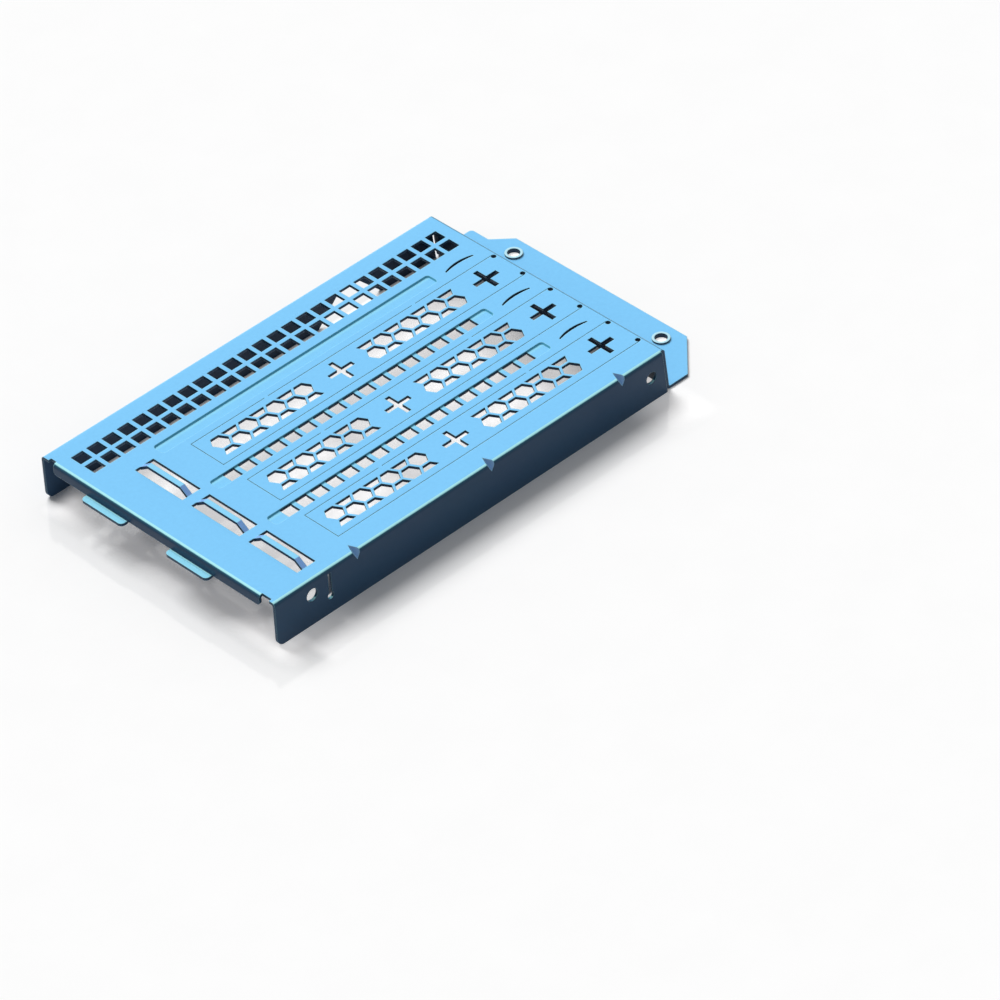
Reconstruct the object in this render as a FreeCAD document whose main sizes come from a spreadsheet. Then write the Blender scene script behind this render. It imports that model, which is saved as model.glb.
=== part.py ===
"""Riser card bracket: one folded sheet, open below, with a vented top plate and a foot flange.

X runs along the plate from its left lip to the flange, Y across it from the near wall to the far
wall, and Z up. The body is drawn from the outer corner of lip and near wall, and its placement
then sets the origin at the middle of the bottom of its box. Lengths are millimetres.
"""

import FreeCAD, Part
import math
import os
import Sketcher

NODE = "riser_card_bracket"

SIZES = {
    # the sheet and its folds
    "sheet_thickness": 0.8,
    "inner_bend_radius": 0.4,
    "plate_length": 132.7,
    "plate_width": 83.7,
    "body_height": 13.3,
    # long walls
    "wall_start": 0.3,
    "wall_corner_radius": 2.2,
    "wall_end_setback": 1.3,
    # end wall, which leans outwards to its foot
    "end_lean": 1.3,
    "end_side_gap": 0.65,
    # lip on the left edge, with its relief notches and outward tabs
    "lip_height": 3.2,
    "lip_start": 5.25,
    "lip_end_margin": 4.6,
    "lip_corner_radius": 1.0,
    "notch_depth": 1.2,
    "near_corner_land": 2.0,
    "far_corner_land": 2.7,
    "tab_reach": 2.1,
    "tab_width": 14.8,
    "tab_first": 21.9,
    "tab_pitch": 30.3,
    "tab_step": 0.7,
    "tab_corner_radius": 1.2,
    # foot flange and its collars
    "flange_reach": 18.6,
    "flange_near_chamfer": 10.75,
    "flange_far_land": 6.2,
    "flange_far_step": 5.1,
    "flange_far_chamfer": 5.0,
    "flange_corner_radius": 1.0,
    "collar_inset": 5.1,
    "collar_spacing": 52.7,
    "collar_outer_diameter": 4.8,
    "collar_bore_diameter": 3.4,
    "collar_height": 0.5,
    # square vents along the far edge
    "vent_side": 3.76,
    "vent_pitch": 5.0,
    "vent_first": 6.47,
    "vent_edge_margin": 7.95,
    "vent_columns": 25,
    "vent_rows": 2,
    # three knock-out lanes, one for each card slot
    "lane_pitch": 20.32,
    "lane_first": 13.21,
    "lane_count": 3,
    "lane_start": 27.95,
    "lane_width": 11.94,
    "slit_width": 0.14,
    "bridge_width": 1.2,
    "bridge_first": 53.1,
    "bridge_spacing": 50.3,
    "relief_diameter": 1.4,
    "relief_setback": 1.85,
    "relief_spacing": 10.4,
    # honeycomb vents in the lanes
    "hexagon_flats": 4.6,
    "hexagon_column_step": 4.63,
    "hexagon_row_step": 2.62,
    "hexagon_trim": 3.63,
    "left_comb_start": 33.6,
    "right_comb_start": 83.9,
    "comb_long_columns": 4,
    "comb_short_columns": 3,
    # crosses in the lanes
    "cross_first": 72.96,
    "cross_spacing": 50.14,
    "cross_length": 8.0,
    "cross_width": 1.5,
    # stiffening beads between the lanes
    "bead_start": 20.9,
    "bead_length": 93.4,
    "bead_width": 3.9,
    "bead_depth": 0.5,
    "bead_corner_radius": 1.0,
    "bead_slope": 25,
    "bead_vent_side": 3.7,
    "bead_vent_first": 27.3,
    "bead_vent_pitch": 5.0,
    "bead_vent_columns": 17,
    "vented_beads": 2,
    # curved slots past the beads
    "crescent_start": 118.1,
    "crescent_length": 9.6,
    "crescent_drop": 0.75,
    "crescent_outer_sag": 0.95,
    "crescent_inner_sag": 0.55,
    "crescent_end_width": 0.4,
    # raised bridges at the left end of the lanes
    "window_start": 12.0,
    "window_width": 6.0,
    "window_length": 17.1,
    "strap_start": 13.7,
    "strap_width": 1.55,
    "strap_rise": 1.7,
    "strap_ramp": 2.6,
    # holes in the near wall, measured down from the plate
    "left_hole_place": 12.2,
    "left_hole_drop": 4.4,
    "left_hole_diameter": 3.6,
    "right_hole_place": 127.3,
    "right_hole_drop": 5.8,
    "right_hole_diameter": 3.4,
    "keyhole_place": 18.0,
    "keyhole_slit_width": 1.0,
    "keyhole_slit_drop": 1.3,
    "keyhole_drop": 8.1,
    "keyhole_diameter": 2.0,
    # stiffening dents across the near fold
    "dent_first": 27.2,
    "dent_pitch": 45.0,
    "dent_count": 3,
    "dent_reach": 3.3,
    "dent_drop": 2.5,
    "dent_half_width": 1.4,
    # notch in the foot of the far wall
    "wall_notch_place": 102.5,
    "wall_notch_width": 22.0,
    "wall_notch_top_width": 5.5,
    "wall_notch_drop": 5.0,
}

# a feature that changes the volume by less than this, in cubic millimetres, has missed the body
LEAST_CHANGE = 1e-3

document = FreeCAD.newDocument("RiserCardBracket")
sheet = document.addObject("Spreadsheet::Sheet", "Sizes")
for row, (alias, number) in enumerate(SIZES.items(), start=1):
    sheet.set(f"A{row}", alias.replace("_", " "))
    sheet.set(f"B{row}", str(number))
    sheet.setAlias(f"B{row}", alias)
document.recompute()


class Size:
    """A length with both its present number and the formula that ties it to the sheet."""

    def __init__(self, number, formula):
        self.number = number
        self.formula = formula

    def __add__(self, other):
        return join(self, other, "+", lambda a, b: a + b)

    def __sub__(self, other):
        return join(self, other, "-", lambda a, b: a - b)

    def __mul__(self, other):
        return join(self, other, "*", lambda a, b: a * b)

    def __truediv__(self, other):
        return join(self, other, "/", lambda a, b: a / b)

    def __neg__(self):
        return join(size(-1), self, "*", lambda a, b: a * b)


def size(source):
    """The size of that name in the sheet, or a plain number."""
    if isinstance(source, Size):
        return source
    if isinstance(source, str):
        return Size(float(sheet.get(source)), f"Sizes.{source}")
    return Size(float(source), repr(float(source)))


def join(first, second, sign, work):
    second = size(second)
    return Size(work(first.number, second.number), f"({first.formula} {sign} {second.formula})")


def slant(across, up):
    """Length of a line that runs so far across and so far up."""
    number = math.hypot(across.number, up.number)
    return Size(number, f"sqrt({across.formula} ^ 2 + {up.formula} ^ 2)")


def bind(target, path, value):
    target.setExpression(path, size(value).formula)


# lengths that follow from the sizes
thickness = size("sheet_thickness")
inner_radius = size("inner_bend_radius")
outer_radius = inner_radius + thickness
length = size("plate_length")
width = size("plate_width")
height = size("body_height")
underside = height - thickness
lane_middle = size("lane_first")
bead_middle = lane_middle + size("lane_pitch") / 2
lip_bottom = height - "lip_height"
flange_end = length + "flange_reach"
punch_depth = thickness + size("bead_depth") * 2


class Worked:
    """A body of the document, with the features that shape it."""

    def __init__(self, name, label, many=True):
        self.body = document.addObject("PartDesign::Body", name)
        self.body.Label = label
        self.body.AllowCompound = many
        self.origin = {item.Role: item for item in self.body.Origin.OriginFeatures}
        self.volume = 0.0

    def sketch(self, plane, name, offset=0):
        """Sketch on one of the body's planes, moved along the plane's normal."""
        sketch = self.body.newObject("Sketcher::SketchObject", name)
        sketch.AttachmentSupport = (self.origin[plane], [""])
        sketch.MapMode = "FlatFace"
        bind(sketch, "AttachmentOffset.Base.z", offset)
        return sketch

    def settle(self, feature, grows):
        """Recompute, and stop if the feature failed or changed the volume the wrong way."""
        before = self.volume
        document.recompute()
        self.volume = feature.Shape.Volume
        gain = self.volume - before if grows else before - self.volume
        if not feature.isValid() or gain < LEAST_CHANGE:
            raise RuntimeError(f"{feature.Name} did not form: {before} to {self.volume}")
        return feature

    def extrude(self, kind, name, sketch, depth, backwards, slope):
        feature = self.body.newObject(kind, name)
        feature.Profile = sketch
        feature.Reversed = backwards
        bind(feature, "Length", depth)
        if slope is not None:
            bind(feature, "TaperAngle", slope)
        return self.settle(feature, kind == "PartDesign::Pad")

    def pad(self, name, sketch, depth, backwards=False, slope=None):
        return self.extrude("PartDesign::Pad", name, sketch, depth, backwards, slope)

    def pocket(self, name, sketch, depth, backwards=False, slope=None):
        return self.extrude("PartDesign::Pocket", name, sketch, depth, backwards, slope)

    def press(self, kind, name, sketch, along, up):
        """Extrusion of an upright section along a line that climbs across the plate."""
        feature = self.body.newObject(kind, name)
        feature.Profile = sketch
        feature.UseCustomVector = True
        feature.Direction = FreeCAD.Vector(0, along.number, up.number)
        feature.AlongSketchNormal = False
        bind(feature, "Direction.y", along)
        bind(feature, "Direction.z", up)
        bind(feature, "Length", slant(along, up))
        return self.settle(feature, kind == "PartDesign::Pad")

    def repeat(self, name, features, grows, along_x=None, along_y=None):
        """Pattern of features in one or both directions, each given as (count, pitch)."""
        runs = [("X_Axis", along_x), ("Y_Axis", along_y)]
        runs = [(axis, run) for axis, run in runs if run is not None]
        pattern = None
        if len(runs) > 1:
            pattern = self.body.newObject("PartDesign::MultiTransform", name)
        steps = []
        for axis, (count, pitch) in runs:
            step = self.body.newObject("PartDesign::LinearPattern", f"{name}{axis[0]}")
            step.Direction = (self.origin[axis], [""])
            step.Mode = "Spacing"
            bind(step, "Occurrences", count)
            bind(step, "Offset", pitch)
            steps.append(step)
        if pattern is None:
            pattern = steps[0]
        else:
            pattern.Transformations = steps
        pattern.Originals = features
        self.body.Tip = pattern
        return self.settle(pattern, grows)

    def round_edges(self, name, base, radius, edges):
        fillet = self.body.newObject("PartDesign::Fillet", name)
        fillet.Base = (base, edges)
        bind(fillet, "Radius", radius)
        return self.settle(fillet, False)

    def punch(self, name, dies):
        """Cut other bodies out of this one."""
        boolean = self.body.newObject("PartDesign::Boolean", name)
        boolean.Type = "Cut"
        boolean.Refine = False
        boolean.setObjects([die.body for die in dies])
        self.body.Tip = boolean
        return self.settle(boolean, False)


def pin(sketch, geometry, end, across, up):
    """Fix a point of a sketch at its distances from the sketch's origin."""
    for kind, value in (("DistanceX", across), ("DistanceY", up)):
        index = sketch.addConstraint(
            Sketcher.Constraint(kind, -1, 1, geometry, end, size(value).number)
        )
        bind(sketch, f"Constraints[{index}]", value)


def draw_outline(sketch, corners):
    """Closed loop through the corners, each (across, up) or (across, up, radius)."""
    corners = [tuple(size(value) for value in corner) for corner in corners]
    places = [FreeCAD.Vector(corner[0].number, corner[1].number, 0) for corner in corners]
    arrive = []
    leave = []
    for index, corner in enumerate(corners):
        here = places[index]
        back = (places[index - 1] - here).normalize()
        ahead = (places[(index + 1) % len(corners)] - here).normalize()
        setback = 0
        if len(corner) == 3:
            setback = corner[2].number / math.tan(back.getAngle(ahead) / 2)
        arrive.append(here + back * setback)
        leave.append(here + ahead * setback)
    sides = [
        sketch.addGeometry(Part.LineSegment(leave[i], arrive[(i + 1) % len(corners)]))
        for i in range(len(corners))
    ]
    for index, corner in enumerate(corners):
        side_in = sides[index - 1]
        side_out = sides[index]
        if len(corner) == 2:
            sketch.addConstraint(Sketcher.Constraint("Coincident", side_in, 2, side_out, 1))
            pin(sketch, side_out, 1, corner[0], corner[1])
            continue
        draw_round(sketch, corner, places[index], arrive[index], leave[index], side_in, side_out)


def draw_round(sketch, corner, place, start, end, side_in, side_out):
    """Arc between two sides, tangent to both, whose sharp corner stays where it is pinned."""
    radius = corner[2]
    towards = ((start - place) + (end - place)).normalize()
    reach = math.hypot(radius.number, place.distanceToPoint(start))
    middle = place + towards * (reach - radius.number)
    arc = sketch.addGeometry(Part.Arc(start, middle, end))
    turns_back = sketch.getPoint(arc, 1).distanceToPoint(start) > 1e-6
    first, last = (2, 1) if turns_back else (1, 2)
    point = sketch.addGeometry(Part.Point(place), True)
    pin(sketch, point, 1, corner[0], corner[1])
    sketch.addConstraint(Sketcher.Constraint("PointOnObject", point, 1, side_in))
    sketch.addConstraint(Sketcher.Constraint("PointOnObject", point, 1, side_out))
    sketch.addConstraint(Sketcher.Constraint("Tangent", side_in, 2, arc, first))
    sketch.addConstraint(Sketcher.Constraint("Tangent", arc, last, side_out, 1))
    index = sketch.addConstraint(Sketcher.Constraint("Radius", arc, radius.number))
    bind(sketch, f"Constraints[{index}]", radius)


def draw_box(sketch, left, bottom, right, top, radius=None):
    corners = [(left, bottom), (right, bottom), (right, top), (left, top)]
    if radius is not None:
        corners = [corner + (radius,) for corner in corners]
    draw_outline(sketch, corners)


def draw_circle(sketch, across, up, diameter):
    centre = FreeCAD.Vector(size(across).number, size(up).number, 0)
    radius = size(diameter).number / 2
    circle = sketch.addGeometry(Part.Circle(centre, FreeCAD.Vector(0, 0, 1), radius))
    pin(sketch, circle, 3, across, up)
    index = sketch.addConstraint(Sketcher.Constraint("Diameter", circle, 2 * radius))
    bind(sketch, f"Constraints[{index}]", diameter)


def straight_edges(feature, axis, **places):
    """Names of the edges that run along an axis and lie at the places given for the others."""
    names = []
    for index, edge in enumerate(feature.Shape.Edges, start=1):
        first = edge.Vertexes[0].Point
        last = edge.Vertexes[-1].Point
        run = last - first
        if abs(getattr(run, axis)) < 1e-6 or abs(abs(getattr(run, axis)) - run.Length) > 1e-6:
            continue
        fits = [
            any(abs(getattr(first, other) - size(value).number) < 1e-4 for value in values)
            for other, values in places.items()
        ]
        if all(fits):
            names.append(f"Edge{index}")
    return names


def make_channel(part):
    """Top plate with its two long walls, their ends parallel to the leaning end wall."""
    section = part.sketch("YZ_Plane", "ChannelSection", "wall_start")
    far_inside = width - thickness
    draw_outline(
        section,
        [
            (0, 0),
            (thickness, 0),
            (thickness, underside, inner_radius),
            (far_inside, underside, inner_radius),
            (far_inside, 0),
            (width, 0),
            (width, height, outer_radius),
            (0, height, outer_radius),
        ],
    )
    wall_end = length + "end_lean"
    channel = part.pad("Channel", section, wall_end - "wall_start")
    ends = part.sketch("XZ_Plane", "WallEnds")
    top = length - "wall_end_setback"
    bottom = top + "end_lean"
    draw_outline(ends, [(top, height), (bottom, 0), (wall_end, 0), (wall_end, height)])
    channel = part.pocket("WallEndCut", ends, width)
    corners = straight_edges(channel, "y", x=["wall_start"], z=[0])
    return part.round_edges("WallCorners", channel, "wall_corner_radius", corners)


def make_lip(part):
    """Lip folded down from the left edge, between two relief notches."""
    edge = part.sketch("XY_Plane", "LeftEdge", height)
    far_land = width - "far_corner_land"
    draw_box(edge, 0, "near_corner_land", "notch_depth", far_land)
    part.pocket("LeftEdgeCut", edge, outer_radius)
    profile = part.sketch("XZ_Plane", "LipProfile", -size("lip_start"))
    root = outer_radius + thickness
    draw_outline(
        profile,
        [
            (0, lip_bottom),
            (thickness, lip_bottom),
            (thickness, underside, inner_radius),
            (root, underside),
            (root, height),
            (0, height, outer_radius),
        ],
    )
    lip_end = width - "lip_end_margin"
    lip = part.pad("Lip", profile, lip_end - "lip_start", backwards=True)
    ends = ["lip_start", lip_end]
    corners = straight_edges(lip, "x", y=ends, z=[lip_bottom])
    return part.round_edges("LipCorners", lip, "lip_corner_radius", corners)


def make_tabs(part):
    """Two tabs folded outwards from the foot of the lip."""
    profile = part.sketch("XZ_Plane", "TabProfile", -size("tab_first"))
    bottom = lip_bottom - "tab_step"
    root = bottom + thickness + inner_radius
    draw_outline(
        profile,
        [
            (thickness, root + outer_radius),
            (0, root + outer_radius),
            (0, bottom + thickness, inner_radius),
            (-size("tab_reach"), bottom + thickness),
            (-size("tab_reach"), bottom),
            (thickness, bottom, outer_radius),
        ],
    )
    tab = part.pad("Tab", profile, "tab_width", backwards=True)
    tabs = part.repeat("Tabs", [tab], True, along_y=(2, "tab_pitch"))
    corners = straight_edges(tabs, "z", x=[-size("tab_reach")])
    return part.round_edges("TabCorners", tabs, "tab_corner_radius", corners)


def make_end_wall(part):
    """Leaning end wall, folded down from the plate and out again into the foot."""
    lean = size("end_lean")
    slope = lean / height
    wall_thickness = thickness * slant(lean, height) / height
    plate_start = length - "wall_end_setback"
    foot_end = length + lean + outer_radius * 2
    profile = part.sketch("XZ_Plane", "EndProfile", -size("end_side_gap"))
    draw_outline(
        profile,
        [
            (plate_start, height),
            (plate_start + slope * thickness, underside),
            (length + slope * thickness - wall_thickness, underside, inner_radius),
            (length + lean - wall_thickness, 0, outer_radius),
            (foot_end, 0),
            (foot_end, thickness),
            (length + slope * underside, thickness, inner_radius),
            (length, height, outer_radius),
        ],
    )
    part.pad("EndWall", profile, width - size("end_side_gap") * 2, backwards=True)


def make_flange(part):
    """Foot flange with cut-back corners, and two drawn collars for screws."""
    plan = part.sketch("XY_Plane", "FlangePlan")
    start = length + size("end_lean") + outer_radius
    near = size("end_side_gap")
    step = flange_end - "flange_far_step"
    step_corner = width - "flange_far_land"
    draw_outline(
        plan,
        [
            (start, near),
            (flange_end - "flange_near_chamfer", near),
            (flange_end, near + "flange_near_chamfer"),
            (flange_end, step_corner - "flange_far_chamfer"),
            (step, step_corner),
            (step, width, "flange_corner_radius"),
            (start, width),
        ],
    )
    part.pad("Flange", plan, thickness)
    ring = part.sketch("XY_Plane", "CollarPlan", thickness)
    place = flange_end - "collar_inset"
    first = width / 2 - size("collar_spacing") / 2
    draw_circle(ring, place, first, "collar_outer_diameter")
    collar = part.pad("Collar", ring, "collar_height")
    part.repeat("Collars", [collar], True, along_y=(2, "collar_spacing"))
    bore = part.sketch("XY_Plane", "CollarBorePlan", thickness + "collar_height")
    draw_circle(bore, place, first, "collar_bore_diameter")
    hole = part.pocket("CollarBore", bore, thickness + "collar_height")
    part.repeat("CollarBores", [hole], False, along_y=(2, "collar_spacing"))


def make_dents(part):
    """Dents pressed across the near fold: a V that runs from the plate down into the wall."""
    middle = size("dent_first")
    reach = size("dent_reach")
    drop = size("dent_drop")
    spread = size("dent_half_width") / drop
    foot = height - drop
    # the inside of the V is its outside moved in by the sheet's thickness
    flank = spread * slant(reach, drop) / reach
    sink = thickness * slant(flank, size(1)) / flank * slant(reach, drop) / reach
    tall = sink + drop
    wide = spread * tall
    back = part.sketch("XZ_Plane", "DentBack")
    draw_outline(
        back,
        [(middle, foot - sink), (middle + wide, height), (middle - wide, height)],
    )
    beyond = tall / drop
    solid = part.press("PartDesign::Pad", "DentSolid", back, reach * beyond, tall)
    outside = part.sketch("YZ_Plane", "FoldOutside", middle - wide - thickness)
    draw_outline(
        outside,
        [
            (0, foot - sink),
            (0, height, outer_radius),
            (reach * beyond * 2, height),
            (reach * beyond * 2, height + tall * 2),
            (-outer_radius, height + tall * 2),
            (-outer_radius, foot - sink),
        ],
    )
    trim = part.pocket("DentTrim", outside, (wide + thickness) * 2, backwards=True)
    front = part.sketch("XZ_Plane", "DentFront")
    wide = size("dent_half_width") * 2
    draw_outline(
        front,
        [(middle, foot), (middle + wide, height + drop), (middle - wide, height + drop)],
    )
    hollow = part.press("PartDesign::Pocket", "DentHollow", front, reach, drop)
    part.repeat("Dents", [solid, trim, hollow], True, along_x=("dent_count", "dent_pitch"))


def make_wall_openings(part):
    """Holes and keyhole in the near wall, and the notch in the foot of the far wall."""
    holes = part.sketch("XZ_Plane", "NearWallHoles")
    for side in ("left", "right"):
        drop = height - f"{side}_hole_drop"
        draw_circle(holes, f"{side}_hole_place", drop, f"{side}_hole_diameter")
    draw_circle(holes, "keyhole_place", height - "keyhole_drop", "keyhole_diameter")
    part.pocket("NearWallHoleCut", holes, thickness)
    slit = part.sketch("XZ_Plane", "KeyholeSlit")
    half = size("keyhole_slit_width") / 2
    middle = size("keyhole_place")
    top = height - "keyhole_slit_drop"
    draw_box(slit, middle - half, height - "keyhole_drop", middle + half, top)
    part.pocket("KeyholeSlitCut", slit, thickness)
    notch = part.sketch("XZ_Plane", "FarWallNotch", thickness - width)
    middle = size("wall_notch_place")
    half = size("wall_notch_width") / 2
    top_half = size("wall_notch_top_width") / 2
    top = height - "wall_notch_drop"
    draw_outline(
        notch,
        [(middle - half, 0), (middle + half, 0), (middle + top_half, top), (middle - top_half, top)],
    )
    part.pocket("FarWallNotchCut", notch, thickness)


def make_beads(part):
    """Beads pressed down between the lanes, the sheet keeping its thickness."""
    start = size("bead_start")
    end = start + "bead_length"
    half = size("bead_width") / 2
    radius = size("bead_corner_radius")
    depth = size("bead_depth")
    below = part.sketch("XY_Plane", "BeadBack", underside)
    side = (start, bead_middle - half, end, bead_middle + half)
    draw_box(below, *side, radius)
    swell = part.pad("BeadSwell", below, depth, backwards=True, slope=-size("bead_slope"))
    part.repeat("BeadSwells", [swell], True, along_y=("lane_count", "lane_pitch"))
    above = part.sketch("XY_Plane", "BeadFront", height)
    draw_box(above, *side, radius)
    groove = part.pocket("BeadGroove", above, depth, slope=-size("bead_slope"))
    part.repeat("BeadGrooves", [groove], False, along_y=("lane_count", "lane_pitch"))


def edge_vent_die():
    """Two rows of square vents along the far edge."""
    die = Worked("EdgeVentDie", "edge vent punches")
    edge = die.sketch("XY_Plane", "EdgeVent", height)
    half = size("vent_side") / 2
    across = size("vent_first")
    first_row = width - "vent_edge_margin" - "vent_pitch"
    draw_box(edge, across - half, first_row - half, across + half, first_row + half)
    punch = die.pad("EdgeVentPunch", edge, punch_depth, backwards=True)
    pitch = "vent_pitch"
    die.repeat("EdgeVents", [punch], True, ("vent_columns", pitch), ("vent_rows", pitch))
    return die


def bead_vent_die():
    """A row of square vents in each vented bead."""
    die = Worked("BeadVentDie", "bead vent punches")
    bead = die.sketch("XY_Plane", "BeadVent", height)
    half = size("bead_vent_side") / 2
    across = size("bead_vent_first")
    draw_box(bead, across - half, bead_middle - half, across + half, bead_middle + half)
    punch = die.pad("BeadVentPunch", bead, punch_depth, backwards=True)
    along_x = ("bead_vent_columns", "bead_vent_pitch")
    die.repeat("BeadVents", [punch], True, along_x, ("vented_beads", "lane_pitch"))
    return die


def slit_die():
    """Slits round the knock-out lanes, and their relief holes beside the end fold."""
    die = Worked("SlitDie", "lane slit punches")
    slits = die.sketch("XY_Plane", "LaneSlits", height)
    outer = size("lane_width") / 2
    inner = outer - "slit_width"
    start = size("lane_start")
    end = length - "relief_setback"
    near = lane_middle - outer
    far = lane_middle + outer
    first = size("bridge_first")
    second = first + "bridge_spacing"
    half_bridge = size("bridge_width") / 2
    draw_outline(
        slits,
        [
            (start, near),
            (end, near),
            (end, lane_middle - inner),
            (start + "slit_width", lane_middle - inner),
            (start + "slit_width", lane_middle + inner),
            (first - half_bridge, lane_middle + inner),
            (first - half_bridge, far),
            (start, far),
        ],
    )
    draw_box(slits, first + half_bridge, lane_middle + inner, second - half_bridge, far)
    draw_box(slits, second + half_bridge, lane_middle + inner, end, far)
    slit = die.pad("LaneSlitPunch", slits, punch_depth, backwards=True)
    reliefs = die.sketch("XY_Plane", "LaneReliefs", height)
    for turn in (-1, 1):
        place = lane_middle + size("relief_spacing") * (turn / 2)
        draw_circle(reliefs, end, place, "relief_diameter")
    relief = die.pad("LaneReliefPunch", reliefs, punch_depth, backwards=True)
    die.repeat("Slits", [slit, relief], True, along_y=("lane_count", "lane_pitch"))
    return die


def cross_die():
    """Two plus-shaped openings on the middle of each lane."""
    die = Worked("CrossDie", "cross punches")
    sketch = die.sketch("XY_Plane", "Cross", height)
    arm = size("cross_length") / 2
    half = size("cross_width") / 2
    middle = size("cross_first")
    quarter = [(arm, half), (half, half), (half, arm)]
    left = [(-x, y) for x, y in reversed(quarter)]
    upper = quarter + left
    lower = [(x, -y) for x, y in reversed(upper)]
    draw_outline(sketch, [(middle + x, lane_middle + y) for x, y in upper + lower])
    punch = die.pad("CrossPunch", sketch, punch_depth, backwards=True)
    along_y = ("lane_count", "lane_pitch")
    die.repeat("Crosses", [punch], True, (2, "cross_spacing"), along_y)
    return die


def comb_die(name, across, side, columns):
    """Whole hexagons on one side of the lane's middle and clipped ones on the other."""
    die = Worked(f"{name}Die", f"{name} punches")
    sketch = die.sketch("XY_Plane", f"{name}Cell", height)
    flat = size("hexagon_flats") / 2
    point = flat * (2 / math.sqrt(3))
    row = size("hexagon_row_step") / 2
    middle = lane_middle + row * side
    upper = [(point, 0), (point / 2, flat), (-point / 2, flat), (-point, 0)]
    hexagon = upper + [(-point / 2, -flat), (point / 2, -flat)]
    draw_outline(sketch, [(across + x, middle + y) for x, y in hexagon])
    # the next row is cut off short of its middle
    inside = row * 3 - flat
    outside = size("hexagon_trim")
    wide = point - (row * 3 - outside) / math.sqrt(3)
    clipped = [(point / 2, inside), (wide, outside), (-wide, outside), (-point / 2, inside)]
    draw_outline(sketch, [(across + x, lane_middle - y * side) for x, y in clipped])
    punch = die.pad(f"{name}Punch", sketch, punch_depth, backwards=True)
    pitch = size("hexagon_column_step") * 2
    die.repeat(name, [punch], True, (columns, pitch), ("lane_count", "lane_pitch"))
    return die


def honeycomb_dies():
    """Two groups of hexagonal vents in each lane, their columns staggered by half a row."""
    dies = []
    step = size("hexagon_column_step")
    for group, side in (("left", 1), ("right", -1)):
        start = size(f"{group}_comb_start")
        title = group.capitalize()
        dies.append(comb_die(f"{title}CombLong", start, side, "comb_long_columns"))
        dies.append(comb_die(f"{title}CombShort", start + step, -side, "comb_short_columns"))
    return dies


def crescent_die():
    """Curved slots in line with the beads."""
    die = Worked("CrescentDie", "crescent punches")
    sketch = die.sketch("XY_Plane", "Crescent", height)
    start = size("crescent_start")
    half = size("crescent_length") / 2
    end = start + "crescent_length"
    low = bead_middle - "crescent_drop" - size("crescent_end_width") / 2
    high = low + "crescent_end_width"
    arcs = []
    for level, sag in ((low, size("crescent_inner_sag")), (high, size("crescent_outer_sag"))):
        left = FreeCAD.Vector(start.number, level.number, 0)
        top = FreeCAD.Vector((start + half).number, (level + sag).number, 0)
        right = FreeCAD.Vector(end.number, level.number, 0)
        arc = sketch.addGeometry(Part.Arc(right, top, left))
        pin(sketch, arc, 1, end, level)
        pin(sketch, arc, 2, start, level)
        radius = (half * half + sag * sag) / (sag * 2)
        index = sketch.addConstraint(Sketcher.Constraint("Radius", arc, radius.number))
        bind(sketch, f"Constraints[{index}]", radius)
        arcs.append(arc)
    for point in (1, 2):
        ends = [sketch.getPoint(arc, point) for arc in arcs]
        line = sketch.addGeometry(Part.LineSegment(*ends))
        sketch.addConstraint(Sketcher.Constraint("Coincident", line, 1, arcs[0], point))
        sketch.addConstraint(Sketcher.Constraint("Coincident", line, 2, arcs[1], point))
    punch = die.pad("CrescentPunch", sketch, punch_depth, backwards=True)
    die.repeat("Crescents", [punch], True, along_y=("lane_count", "lane_pitch"))
    return die


def make_lances(part):
    """Windows at the left end of the lanes, each spanned by a raised strap."""
    window = part.sketch("XY_Plane", "Window", height)
    half = size("window_length") / 2
    left = size("window_start")
    right = left + "window_width"
    draw_box(window, left, lane_middle - half, right, lane_middle + half)
    cut = part.pocket("WindowCut", window, thickness)
    part.repeat("Windows", [cut], False, along_y=("lane_count", "lane_pitch"))
    rise = size("strap_rise")
    ramp = size("strap_ramp")
    # the sheet keeps its thickness round both folds of the ramp
    fold = thickness * rise / (ramp + slant(ramp, rise))
    top = height + rise
    side = [
        (half, height),
        (half, underside),
        (half - fold, underside),
        (half - ramp - fold, top - thickness),
    ]
    crown = [(half - ramp, top)]
    right_half = crown + side
    profile = [(lane_middle + y, z) for y, z in right_half]
    profile += [(lane_middle - y, z) for y, z in reversed(right_half)]
    section = part.sketch("YZ_Plane", "StrapSection", "strap_start")
    draw_outline(section, profile)
    strap = part.pad("Strap", section, "strap_width")
    part.repeat("Straps", [strap], True, along_y=("lane_count", "lane_pitch"))


def main():
    bracket = Worked("Bracket", NODE, many=False)
    make_channel(bracket)
    make_lip(bracket)
    make_tabs(bracket)
    make_dents(bracket)
    make_end_wall(bracket)
    make_flange(bracket)
    make_wall_openings(bracket)
    make_beads(bracket)
    make_lances(bracket)
    dies = [edge_vent_die(), bead_vent_die(), slit_die(), cross_die(), crescent_die()]
    bracket.punch("Punched", dies + honeycomb_dies())
    bind(bracket.body, "Placement.Base.x", -(flange_end - "tab_reach") / 2)
    bind(bracket.body, "Placement.Base.y", -width / 2)
    document.recompute()
    for item in document.Objects:
        if "Invalid" in item.State or "Error" in item.State:
            raise RuntimeError(f"{item.Name} failed: {item.State}")
    # written out as text and read again, which settles the tolerances that the cuts leave
    shape = Part.Shape()
    shape.importBrepFromString(bracket.body.Shape.exportBrepToString())
    if shape.isNull() or not shape.isValid() or len(shape.Solids) != 1:
        raise RuntimeError("the bracket is not one valid solid")
    os.makedirs("parts", exist_ok=True)
    shape.exportStep(f"parts/{bracket.body.Label}.step")
    box = shape.BoundBox
    print(f"{NODE}: {box.XLength:.2f} x {box.YLength:.2f} x {box.ZLength:.2f} mm")
    print(f"{shape.Volume:.0f} mm3, {len(shape.Faces)} faces")


main()
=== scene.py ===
"""Looks of the riser card bracket: one folded sheet with a satin blue coat, on a pale floor."""

import math

import bmesh
import bpy
from mathutils import Euler, Matrix, Vector


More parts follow.
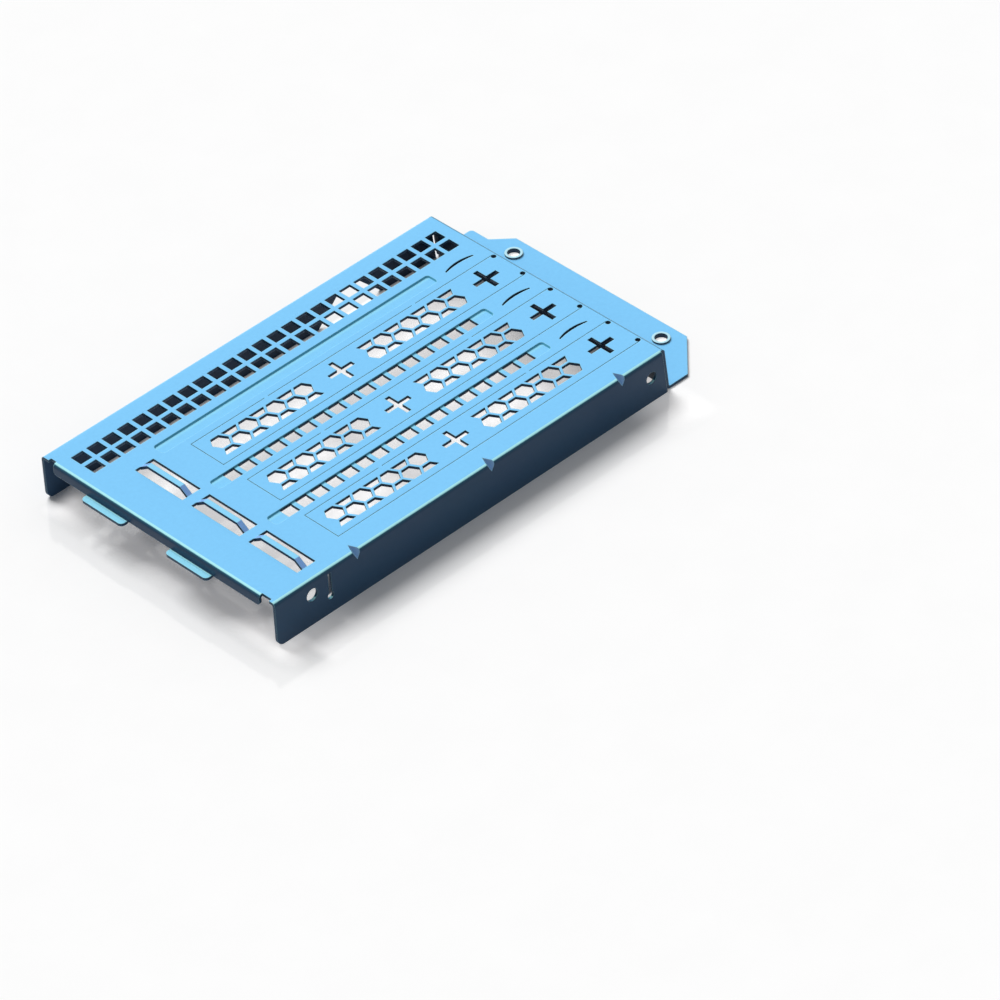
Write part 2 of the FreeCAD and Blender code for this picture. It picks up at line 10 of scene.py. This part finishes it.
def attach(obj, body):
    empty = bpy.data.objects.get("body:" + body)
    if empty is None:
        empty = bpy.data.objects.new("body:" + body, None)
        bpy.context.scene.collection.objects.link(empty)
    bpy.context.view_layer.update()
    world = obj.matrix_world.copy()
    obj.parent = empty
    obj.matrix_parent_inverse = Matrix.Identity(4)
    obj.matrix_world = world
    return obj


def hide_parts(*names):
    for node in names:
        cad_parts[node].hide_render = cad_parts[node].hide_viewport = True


NODE = "riser_card_bracket"

# the camera stands near the left front corner, looking down on the plate: its place is in
# metres, its angles are in degrees, and its lens and sensor are in millimetres
CAMERA_PLACE = (-0.8423, -0.96648, 1.01665)
CAMERA_AZIMUTH = 42.322
CAMERA_ELEVATION = 39.093
CAMERA_ROLL = -3.4
CAMERA_LENS = 238.04
SENSOR_WIDTH = 36.0
VIEW_END = 20.0

# colours as they are seen, red green blue from 0 to 255. The coat is one blue: its colours other
# than the top blue are painted shade and painted highlight of it, and one cyan serves also as edge
# wear
TOP_BLUE = (131, 207, 255)
PRESSED_HIGHLIGHT = (158, 233, 252)
RAMP_SHADE_BLUE = (128, 172, 230)
DENT_SHADE_BLUE = (124, 164, 206)
EDGE_SHADE_TEAL = (26, 84, 108)
DRAFT_SHADE_TEAL = (84, 172, 200)
END_SHADE_TEAL = (84, 148, 180)
SIDE_SHADE_NAVY = (27, 64, 92)
SHADED_NAVY = (56, 90, 122)
LIP_SHADE_NAVY = (20, 58, 84)
LOW_SHADE_NAVY = (38, 80, 110)
SIDE_PLUM = (42, 56, 92)
HIGHLIGHT_AND_WEAR_CYAN = (182, 248, 255)
COLLAR_HIGHLIGHT = (196, 238, 252)
FLOOR_WHITE = (255, 255, 255)
FLOOR_GREY = (253.5, 253.5, 253.5)

# painted shade and highlight: the coat's tone round a fold, by how far up the face looks, from 0
# upright to 1 flat
SIDE_SHADE_TONES = [(0.0, SIDE_SHADE_NAVY), (0.5, SIDE_SHADE_NAVY)]
NEAR_FOLD = [(0.74, EDGE_SHADE_TEAL), (0.87, HIGHLIGHT_AND_WEAR_CYAN), (0.985, HIGHLIGHT_AND_WEAR_CYAN), (0.999, TOP_BLUE)]
FAR_FOLD = [(0.6, TOP_BLUE)]
END_FOLD = [(0.8, END_SHADE_TEAL), (0.97, END_SHADE_TEAL), (0.998, TOP_BLUE)]

# height of the plate's face above the ground, in metres like the places and lengths below
PLATE_LEVEL = 0.0133
# straps are above this
ABOVE_PLATE = PLATE_LEVEL + 0.00002
# flats further than this from the plate's level are pressed forms
PRESSED = 0.0003
# straps and beads are nearer to the plate's level than this, and the tabs are further
STRAP_REACH = 0.003
# the drafted sides of beads are within this depth below the plate
BEAD_DEPTH = 0.00055
# the foot's face is below this, and its collars' rims are above
FOOT_LEVEL = 0.0012

# along the sheet, the lip is left of the first line and the foot is right of the second
LIP_LINE = -0.07
FOOT_LINE = 0.066
# across the sheet, dents are on the near side of the first line, the far wall beyond the second
DENT_LINE = -0.037
INNER_LINE = 0.03

# a face turned along by more than this belongs to the right end
END_TURN = 0.1
# one whose turns along and across add up to less than this looks left, near or straight up
NEAR_TURN = 0.02
# the lip's outer face looks left by more than the first, and up by less than the second
LIP_TURN = -0.8
LIP_STEEP = 0.5
# the far wall's inner face looks to the near side by more than this
INNER_TURN = -0.5
# dents are turned both ways, and the two turns multiplied are more than this
DENT_TURN = 0.03
# how far up a face looks when it is upright, slanted or flat
UPRIGHT = 0.3
SLANT_LOW = 0.2
SLANT_HIGH = 0.95
FLAT = 0.99
# how far up a bead's drafted side looks, more or less
DRAFT = 0.42
DRAFT_REACH = 0.06

# beads lie at the lanes' pitch, and a painted highlight makes only the strip along a bead's far side
# pale
LANE_PITCH = 0.02032
BEAD_SHIFT = 0.02043
STRIP_START = 0.00234
STRIP_FULL = 0.003315
STRIP_GAIN = (0.1, 0.6)

# how much paler the painted highlight makes the tabs and straps
TAB_GAIN = 0.75
STRAP_GAIN = 0.35
# how far the painted shade on upright faces changes towards the low tone and the plum
LOW_SHARE = 0.7
PLUM_SHARE = 0.4

# grain of the coat, per metre: plum clouds, speckle, wear, roughness and orange peel
CLOUD_SCALE = 38.0
SPECKLE_SCALE = 900.0
PATCHY_SCALE = 260.0
SATIN_SCALE = 120.0
PEEL_SCALE = 1500.0
# stops of the speckle's shade and of the roughness, as plain values
SPECKLE = [(0.25, (0.95, 0.955, 0.965, 1)), (0.75, (1.0, 1.0, 1.0, 1))]
SATIN = [(0.2, (0.3, 0.3, 0.3, 1)), (0.8, (0.44, 0.44, 0.44, 1))]
# how far edges are rounded, and so how far wear and the painted edge highlight reach in from an
# edge, and how much stronger they are on faces that look up
EDGE_ROUNDING = 0.0004
UPPER_WEAR_AND_HIGHLIGHT = 5.0
# gloss, and the depth of the orange peel
COAT_IOR = 1.45
COAT_SPECULAR = 0.22
PEEL_STRENGTH = 0.05
PEEL_HEIGHT = 0.0001

# light: even room, and one broad lamp from the far side
ROOM_LEVEL = 0.3
LAMP_LEVEL = 2.63
LAMP_TOWARDS = (-0.06, -0.58, -0.83)
LAMP_SPREAD = math.radians(36)

# the floor's size, grain and gloss, and the tint of its patches of painted light
FLOOR_HALF = 3.0
FLOOR_SCALE = 60.0
FLOOR_GRAIN = [(0.3, FLOOR_GREY), (0.7, FLOOR_WHITE)]
FLOOR_ROUGHNESS = 0.1
FLOOR_IOR = 1.7
PAINTED_LIGHT_TINT = (1.0, 0.975, 0.965, 1)

# each side of a patch of painted light in the tray, in under the lip, beside the near wall or
# behind its slit: where the patch ends, and where it is full
TRAY_LEFT = (-0.073, -0.05)
TRAY_RIGHT = (0.066, 0.036)
TRAY_SIDE = (0.0416, 0.039)
LIP_OUTER = (-0.0796, -0.0741)
LIP_INNER = (-0.0656, -0.0716)
LIP_NEAR = (-0.053, -0.043)
LIP_FAR = (0.0405, 0.035)
LIP_ENDS = (0.024, 0.037)
WALL_OUTER = (-0.0575, -0.0505)
WALL_INNER = (-0.0405, -0.0418)
WALL_START = (-0.0706, -0.067)
WALL_LEFT = (-0.0446, -0.0686)
WALL_RIGHT = (0.0414, 0.0554)
WALL_STOP = (0.0635, 0.0575)
SLIT_LEFT = (-0.0531, -0.0527)
SLIT_RIGHT = (-0.0445, -0.0455)
SLIT_NEAR = (-0.0368, -0.0362)
SLIT_FAR = (-0.029, -0.03)

# the spot of painted light on the board that shows through a round hole: its middle and its radius
FOOT_HOLE = ((0.0716, 0.02635), 0.0018)
WALL_HOLE = ((0.0594, -0.035), 0.0028)

# strength of each patch of painted light
TRAY_FILL = 0.56
LIP_FILL = 0.19
LIP_END_FILL = 0.24
WALL_LEFT_FILL = 0.2
WALL_RIGHT_FILL = 0.22

# mesh: points nearer than this are one, and the turns that make a flat face and a real edge
WELD_REACH = 1e-6
FLAT_ANGLE = math.radians(0.5)
EDGE_ANGLE = math.radians(28)


def linear(colour):
    """A colour as it is seen, turned into the values that the shaders take."""
    shades = [value / 255 for value in colour]
    straight = [s / 12.92 if s <= 0.04045 else ((s + 0.055) / 1.055) ** 2.4 for s in shades]
    return (*straight, 1.0)


class Nodes:
    """Short calls that add nodes to a tree and join them."""

    def __init__(self, tree):
        self.tree = tree

    def add(self, kind, *values, settings=None, **inputs):
        """Add a node. Values go to its first inputs in order, and named ones to their own."""
        node = self.tree.nodes.new(kind)
        for name, value in (settings or {}).items():
            setattr(node, name, value)
        for place, value in enumerate(values):
            self.feed(node, place, value)
        for name, value in inputs.items():
            self.feed(node, name.replace("_", " "), value)
        return node

    def feed(self, node, name, value):
        """Give an input a value, or join it to another node's output."""
        socket = node.inputs[name]
        if isinstance(value, bpy.types.NodeSocket):
            self.tree.links.new(value, socket)
        else:
            socket.default_value = value

    def maths(self, operation, first, second=0.0, clamp=False):
        settings = {"operation": operation, "use_clamp": clamp}
        return self.add("ShaderNodeMath", first, second, settings=settings).outputs[0]

    def above(self, value, limit):
        return self.maths("GREATER_THAN", value, limit)

    def below(self, value, limit):
        return self.maths("LESS_THAN", value, limit)

    def product(self, result, *others):
        for other in others:
            result = self.maths("MULTIPLY", result, other)
        return result

    def span(self, value, start, end, low=0.0, high=1.0, kind="LINEAR"):
        """A value that goes from low at start to high at end."""
        settings = {"interpolation_type": kind}
        node = self.add("ShaderNodeMapRange", value, start, end, low, high, settings=settings)
        return node.outputs[0]

    def within(self, *sides):
        """1 inside all the sides and 0 outside. A side is (distance, (ends at, full at))."""
        fades = [self.span(distance, *places, kind="SMOOTHSTEP") for distance, places in sides]
        return self.product(*fades)

    def near_point(self, along, across, point, radius):
        """1 up to the radius from a point, and 0 beyond it."""
        off_along = self.maths("SUBTRACT", along, point[0])
        off_across = self.maths("SUBTRACT", across, point[1])
        off = self.add("ShaderNodeCombineXYZ", off_along, off_across)
        settings = {"operation": "LENGTH"}
        reach = self.add("ShaderNodeVectorMath", off.outputs[0], settings=settings)
        return self.below(reach.outputs["Value"], radius)

    def ramp(self, factor, stops):
        """Colour ramp with stops given as (place, colour)."""
        node = self.add("ShaderNodeValToRGB", factor)
        elements = node.color_ramp.elements
        while len(elements) < len(stops):
            elements.new(1.0)
        for element, (place, colour) in zip(elements, stops):
            element.position = place
            element.color = colour
        return node.outputs[0]

    def tones(self, factor, stops):
        """Colour ramp with its colours given as they are seen."""
        return self.ramp(factor, [(place, linear(colour)) for place, colour in stops])

    def mix(self, factor, first, second, blend="MIX"):
        node = self.add("ShaderNodeMix", settings={"data_type": "RGBA", "blend_type": blend})
        for place, value in ((0, factor), (6, first), (7, second)):
            self.feed(node, place, value)
        return node.outputs[2]

    def noise(self, place, scale, detail=3.0, roughness=0.55):
        node = self.add("ShaderNodeTexNoise", Scale=scale, Detail=detail, Roughness=roughness)
        self.feed(node, "Vector", place)
        return node.outputs[0]

    def seen(self):
        """1 for what is seen straight, in a reflection or through something clear."""
        paths = self.add("ShaderNodeLightPath")
        result = paths.outputs["Is Camera Ray"]
        for ray in ("Is Glossy Ray", "Is Transmission Ray"):
            result = self.maths("MAXIMUM", result, paths.outputs[ray])
        return result


def start_material(name):
    """A new material, the calls for its empty node tree, and its output node."""
    material = bpy.data.materials.new(name)
    material.use_nodes = True
    material.node_tree.nodes.clear()
    n = Nodes(material.node_tree)
    return material, n, n.add("ShaderNodeOutputMaterial")


def coat_tone(n, place, facing, true_facing):
    """The coat's colour with painted shade and highlight: light where the sheet lies flat, near
    black where it stands upright.
    """
    along, across, up = n.add("ShaderNodeSeparateXYZ", facing).outputs
    lengthwise, beside, level = n.add("ShaderNodeSeparateXYZ", place).outputs
    # painted shade and highlight by the way each face looks: navy when upright, teal round the end
    # fold, and a pale rim round folds that look near or left
    near_fold = n.tones(up, SIDE_SHADE_TONES + NEAR_FOLD)
    far_fold = n.tones(up, SIDE_SHADE_TONES + FAR_FOLD)
    end_fold = n.tones(up, SIDE_SHADE_TONES + END_FOLD)
    tone = n.mix(n.above(along, END_TURN), far_fold, end_fold)
    tone = n.mix(n.below(n.maths("ADD", along, across), NEAR_TURN), tone, near_fold)
    # painted shade: the drafted sides of the beads, which are just below the plate, are a teal line
    slope = n.add("ShaderNodeSeparateXYZ", true_facing).outputs[2]
    off_draft = n.maths("ABSOLUTE", n.maths("SUBTRACT", slope, DRAFT))
    shallow = n.above(level, PLATE_LEVEL - BEAD_DEPTH)
    drafted = n.product(n.below(off_draft, DRAFT_REACH), shallow)
    tone = n.mix(drafted, tone, linear(DRAFT_SHADE_TEAL))
    # painted shade makes the lip a little deeper, and painted light makes the far wall's inner face
    # lighter, as if it catches light from under it
    lip = n.product(n.below(along, LIP_TURN), n.below(up, LIP_STEEP), n.below(lengthwise, LIP_LINE))
    tone = n.mix(lip, tone, linear(LIP_SHADE_NAVY))
    inner = n.product(n.below(across, INNER_TURN), n.above(beside, INNER_LINE))
    tone = n.mix(inner, tone, linear(SHADED_NAVY))
    # painted shade in mid tones: dents slope both ways, and ramps of the straps stand above the
    # plate
    slanted = n.product(n.below(up, SLANT_HIGH), n.above(up, SLANT_LOW))
    both_ways = n.maths("ABSOLUTE", n.product(along, across))
    dent = n.product(n.above(both_ways, DENT_TURN), slanted, n.below(beside, DENT_LINE))
    tone = n.mix(dent, tone, linear(DENT_SHADE_BLUE))
    above = n.above(level, ABOVE_PLATE)
    tone = n.mix(n.product(above, slanted), tone, linear(RAMP_SHADE_BLUE))
    # painted highlight: pressed forms are paler than the plate and the foot, as if they catch more
    # light
    off_plate = n.maths("ABSOLUTE", n.maths("SUBTRACT", level, PLATE_LEVEL))
    raised = n.above(level, FOOT_LEVEL)
    flat = n.above(up, FLAT)
    caught = n.product(n.above(off_plate, PRESSED), raised, flat)
    by_plate = n.below(off_plate, STRAP_REACH)
    gain = n.maths("SUBTRACT", TAB_GAIN, n.product(by_plate, TAB_GAIN - STRAP_GAIN))
    # painted highlight: in a bead only the strip along its far side is pale
    groove = n.maths("MODULO", n.maths("ADD", beside, BEAD_SHIFT), LANE_PITCH)
    strip = n.span(groove, STRIP_START, STRIP_FULL, *STRIP_GAIN, kind="SMOOTHSTEP")
    in_bead = n.maths("SUBTRACT", by_plate, above, clamp=True)
    change = n.product(in_bead, n.maths("SUBTRACT", strip, STRAP_GAIN))
    gain = n.maths("ADD", gain, change)
    tone = n.mix(n.product(caught, gain), tone, linear(PRESSED_HIGHLIGHT))
    # painted highlight: the collars' rims are pale
    rim = n.product(raised, n.above(lengthwise, FOOT_LINE), flat)
    tone = n.mix(rim, tone, linear(COLLAR_HIGHLIGHT))
    # the painted shade on upright faces is a little lighter towards the ground, with clouds of plum
    upright = n.below(up, UPRIGHT)
    lower = n.maths("SUBTRACT", 1.0, n.maths("DIVIDE", level, PLATE_LEVEL))
    tone = n.mix(n.product(lower, LOW_SHARE, upright), tone, linear(LOW_SHADE_NAVY))
    cloud = n.noise(place, CLOUD_SCALE, detail=4.0)
    tone = n.mix(n.product(cloud, PLUM_SHARE, upright), tone, linear(SIDE_PLUM))
    shade = n.ramp(n.noise(place, SPECKLE_SCALE, detail=2.0), SPECKLE)
    return n.mix(1.0, tone, shade, blend="MULTIPLY")


def coat_material():
    """Satin blue coat, paler along its edges from wear and a painted highlight, with a fine orange
    peel.
    """
    material, n, output = start_material("blue_coat")
    place = n.add("ShaderNodeTexCoord").outputs["Object"]
    surface = n.add("ShaderNodeNewGeometry")
    facing = surface.outputs["Normal"]
    tone = coat_tone(n, place, facing, surface.outputs["True Normal"])
    # near an edge the rounded normal leaves the face's own
    rounded = n.add("ShaderNodeBevel", settings={"samples": 6}, Radius=EDGE_ROUNDING).outputs[0]
    settings = {"operation": "DOT_PRODUCT"}
    sharp = n.add("ShaderNodeVectorMath", rounded, facing, settings=settings)
    near_edge = n.maths("SUBTRACT", 1.0, sharp.outputs["Value"], clamp=True)
    patchy = n.noise(place, PATCHY_SCALE, detail=5.0, roughness=0.7)
    # wear and a painted highlight along the edges, stronger on faces that look up
    up = n.add("ShaderNodeSeparateXYZ", facing).outputs[2]
    upper_boost = n.span(up, 0.0, 1.0, 1.0, UPPER_WEAR_AND_HIGHLIGHT)
    wear_and_highlight = n.maths("MULTIPLY", n.product(near_edge, upper_boost), patchy, clamp=True)
    tone = n.mix(wear_and_highlight, tone, linear(HIGHLIGHT_AND_WEAR_CYAN))
    rough = n.ramp(n.noise(place, SATIN_SCALE, detail=4.0), SATIN)
    peel = n.add("ShaderNodeBump", Strength=PEEL_STRENGTH, Distance=PEEL_HEIGHT)
    n.feed(peel, "Height", n.noise(place, PEEL_SCALE))
    n.feed(peel, "Normal", rounded)
    shader = n.add("ShaderNodeBsdfPrincipled", Metallic=0.0, IOR=COAT_IOR)
    n.feed(shader, "Specular IOR Level", COAT_SPECULAR)
    n.feed(shader, "Base Color", tone)
    n.feed(shader, "Roughness", rough)
    n.feed(shader, "Normal", peel.outputs[0])
    n.feed(output, "Surface", shader.outputs[0])
    return material


def painted_floor_light(n, place):
    """Painted light: how strongly the board glows pale, place by place, lifting the shadow."""
    along, across = n.add("ShaderNodeSeparateXYZ", place).outputs[:2]
    sideways = n.maths("ABSOLUTE", across)
    tray = n.within((along, TRAY_LEFT), (along, TRAY_RIGHT), (sideways, TRAY_SIDE))
    # behind the keyhole's slit the painted light is left out, and the board stays dark
    slit = n.within((along, SLIT_LEFT), (along, SLIT_RIGHT), (across, SLIT_NEAR), (across, SLIT_FAR))
    tray = n.product(tray, n.maths("SUBTRACT", 1.0, slit))
    # painted light behind the two screw holes of the foot, and behind the hole at the near wall's
    # end
    tray = n.maths("MAXIMUM", tray, n.near_point(along, sideways, *FOOT_HOLE))
    tray = n.maths("MAXIMUM", tray, n.near_point(along, across, *WALL_HOLE))
    # painted light in under the lip, more so towards its ends
    lip = n.within((along, LIP_OUTER), (along, LIP_INNER), (across, LIP_NEAR), (across, LIP_FAR))
    lip_ends = n.product(n.within((sideways, LIP_ENDS)), LIP_END_FILL)
    lip = n.product(lip, n.maths("ADD", lip_ends, LIP_FILL))
    # painted light beside the near wall, towards its ends
    wall = n.within((across, WALL_OUTER), (across, WALL_INNER))
    left_end = n.product(n.within((along, WALL_START), (along, WALL_LEFT)), WALL_LEFT_FILL)
    right_end = n.product(n.within((along, WALL_RIGHT), (along, WALL_STOP)), WALL_RIGHT_FILL)
    wall = n.product(wall, n.maths("ADD", left_end, right_end))
    return n.maths("ADD", n.product(tray, TRAY_FILL), n.maths("ADD", lip, wall))


def floor_material():
    """Smooth white board: it keeps the shadow, lifted by patches of painted light, and shows a faint
    reflection.
    """
    material, n, output = start_material("pale_floor")
    place = n.add("ShaderNodeTexCoord").outputs["Object"]
    tone = n.tones(n.noise(place, FLOOR_SCALE), FLOOR_GRAIN)
    board = n.add("ShaderNodeBsdfPrincipled", Roughness=FLOOR_ROUGHNESS, IOR=FLOOR_IOR)
    n.feed(board, "Base Color", tone)
    # the patches of painted light are seen, and light nothing matt
    strength = n.product(painted_floor_light(n, place), n.seen())
    pale = n.add("ShaderNodeEmission", PAINTED_LIGHT_TINT, strength)
    both = n.add("ShaderNodeAddShader", board.outputs[0], pale.outputs[0])
    n.feed(output, "Surface", both.outputs[0])
    return material


def place_object(name, data):
    """A new object in the scene."""
    piece = bpy.data.objects.new(name, data)
    bpy.context.scene.collection.objects.link(piece)
    return piece


def dress_bracket(node):
    """Smooth-shaded copy of the sheet, which stands for the CAD node."""
    mesh = node.data.copy()
    work = bmesh.new()
    work.from_mesh(mesh)
    bmesh.ops.remove_doubles(work, verts=work.verts, dist=WELD_REACH)
    bmesh.ops.dissolve_limit(work, angle_limit=FLAT_ANGLE, verts=work.verts, edges=work.edges)
    for face in work.faces:
        face.smooth = True
    for edge in work.edges:
        edge.smooth = len(edge.link_faces) == 2 and edge.calc_face_angle(math.pi) < EDGE_ANGLE
    work.to_mesh(mesh)
    work.free()
    mesh.materials.clear()
    mesh.materials.append(coat_material())
    sheet = place_object("bracket_sheet", mesh)
    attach(sheet, "root")
    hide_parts(NODE)


def make_floor():
    """Wide square board at the level of the ground."""
    corners = [(x * FLOOR_HALF, y * FLOOR_HALF, 0) for x, y in ((-1, -1), (1, -1), (1, 1), (-1, 1))]
    mesh = bpy.data.meshes.new("floor")
    mesh.from_pydata(corners, [], [(0, 1, 2, 3)])
    mesh.materials.append(floor_material())
    floor = place_object("floor", mesh)


def make_lights():
    """Even white surroundings, and a broad lamp from the far side."""
    world = bpy.data.worlds.new("soft_room")
    world.use_nodes = True
    n = Nodes(world.node_tree)
    room = n.tree.nodes["Background"]
    n.feed(room, "Color", (1, 1, 1, 1))
    # the room looks white, and its light is softer
    n.feed(room, "Strength", n.span(n.seen(), 0.0, 1.0, ROOM_LEVEL))
    bpy.context.scene.world = world
    lamp = bpy.data.lights.new("window", "SUN")
    lamp.energy = LAMP_LEVEL
    lamp.angle = LAMP_SPREAD
    window = place_object("window", lamp)
    window.rotation_euler = Vector(LAMP_TOWARDS).to_track_quat("-Z", "Y").to_euler()
    # the coat and the board mirror the white room only
    window.visible_glossy = False


def make_camera():
    """Long lens, at the place that was fitted to the photograph."""
    data = bpy.data.cameras.new("camera")
    data.sensor_width = SENSOR_WIDTH
    data.lens = CAMERA_LENS
    data.clip_end = VIEW_END
    camera = place_object("camera", data)
    tilt = Euler((math.radians(90 - CAMERA_ELEVATION), 0, math.radians(-CAMERA_AZIMUTH)))
    roll = Matrix.Rotation(math.radians(CAMERA_ROLL), 3, "Z")
    turn = (tilt.to_matrix() @ roll).to_4x4()
    camera.matrix_world = Matrix.Translation(CAMERA_PLACE) @ turn
    bpy.context.scene.camera = camera


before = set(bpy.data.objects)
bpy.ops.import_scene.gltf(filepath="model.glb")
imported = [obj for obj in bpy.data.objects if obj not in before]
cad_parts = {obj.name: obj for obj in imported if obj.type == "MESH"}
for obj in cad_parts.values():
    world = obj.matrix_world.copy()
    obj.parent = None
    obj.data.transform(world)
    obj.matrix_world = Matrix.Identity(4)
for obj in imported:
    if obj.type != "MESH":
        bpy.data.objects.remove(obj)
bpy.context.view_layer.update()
bpy.context.scene.view_settings.view_transform = "Standard"
make_camera()
make_floor()
make_lights()
dress_bracket(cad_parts[NODE])
